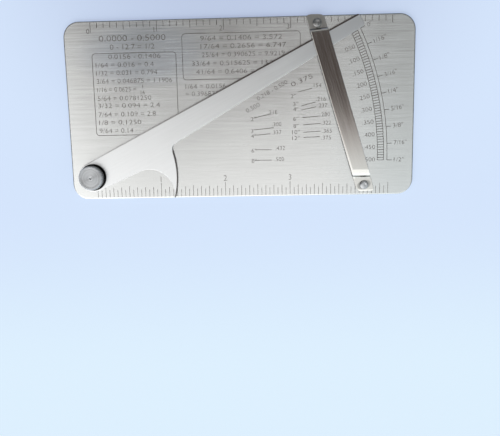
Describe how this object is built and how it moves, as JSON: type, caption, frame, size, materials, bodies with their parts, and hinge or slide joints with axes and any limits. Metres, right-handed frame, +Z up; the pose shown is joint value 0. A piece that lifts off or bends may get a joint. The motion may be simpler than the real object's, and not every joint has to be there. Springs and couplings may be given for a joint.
{
  "type": "weld and pit gauge",
  "caption": "Flat steel pit and weld gauge with engraved rules, a clawed pointer blade on a thumb knob, and a guide strap over a curved depth scale.",
  "frame": {"origin": "middle of the plate's back face, which it rests on", "axes": "+X along the plate towards the depth scale, +Y across it towards the upper rule, +Z up through the plate towards the knob"},
  "size_m": [0.1336, 0.0683, 0.0067],
  "materials": {
    "plate_steel": "satin, brushed lengthwise",
    "blade_steel": "satin, finely brushed",
    "strap_steel": "bright polished",
    "rivet_steel": "bright domed",
    "turned_steel": "bright turned"
  },
  "bodies": {
    "plate": {"base_plate": "plate_steel", "guide_strap": "strap_steel", "upper_rivet": "rivet_steel", "lower_rivet": "rivet_steel", "pivot_bush": "turned_steel"},
    "blade": {"pointer_blade": "blade_steel"},
    "knob": {"thumb_knob": "turned_steel", "pressure_washer": "turned_steel"}
  },
  "joints": [
    {"name": "blade_swing", "type": "hinge", "parent": "plate", "child": "blade", "pos_m": [-0.05825, -0.02525, 0.00195], "axis": [0, 0, 1], "range_deg": [-27, 0]},
    {"name": "knob_turn", "type": "hinge", "parent": "plate", "child": "knob", "pos_m": [-0.05825, -0.02525, 0.0049], "axis": [0, 0, 1], "range_deg": [0, 180]}
  ]
}
